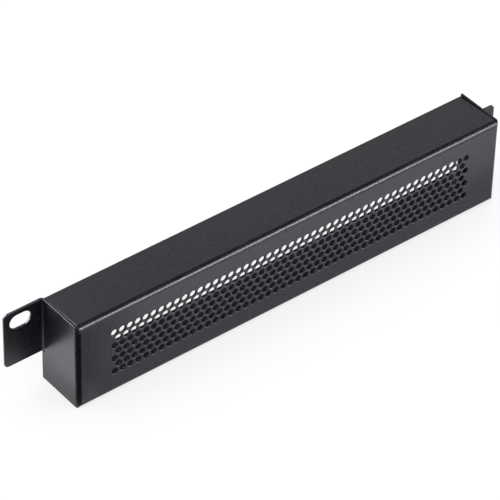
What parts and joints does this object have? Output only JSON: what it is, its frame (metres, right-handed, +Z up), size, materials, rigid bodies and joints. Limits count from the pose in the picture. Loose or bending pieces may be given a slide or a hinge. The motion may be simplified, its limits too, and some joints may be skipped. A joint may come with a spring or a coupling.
{
  "type": "perforated rack panel",
  "caption": "Folded sheet-steel rack cover with a perforated front, flanged edges, an open back and two offset slotted ears.",
  "frame": {"origin": "middle of the panel's outline, at the level of its bottom edge", "axes": "+X to the right along the front, +Y from the perforated front to the open back, +Z up"},
  "size_m": [0.263, 0.025, 0.0436],
  "materials": {
    "black_powder_coat": "satin black powder coat with a fine orange-peel texture"
  },
  "bodies": {
    "root": {"perforated_panel": "black_powder_coat"}
  },
  "joints": []
}
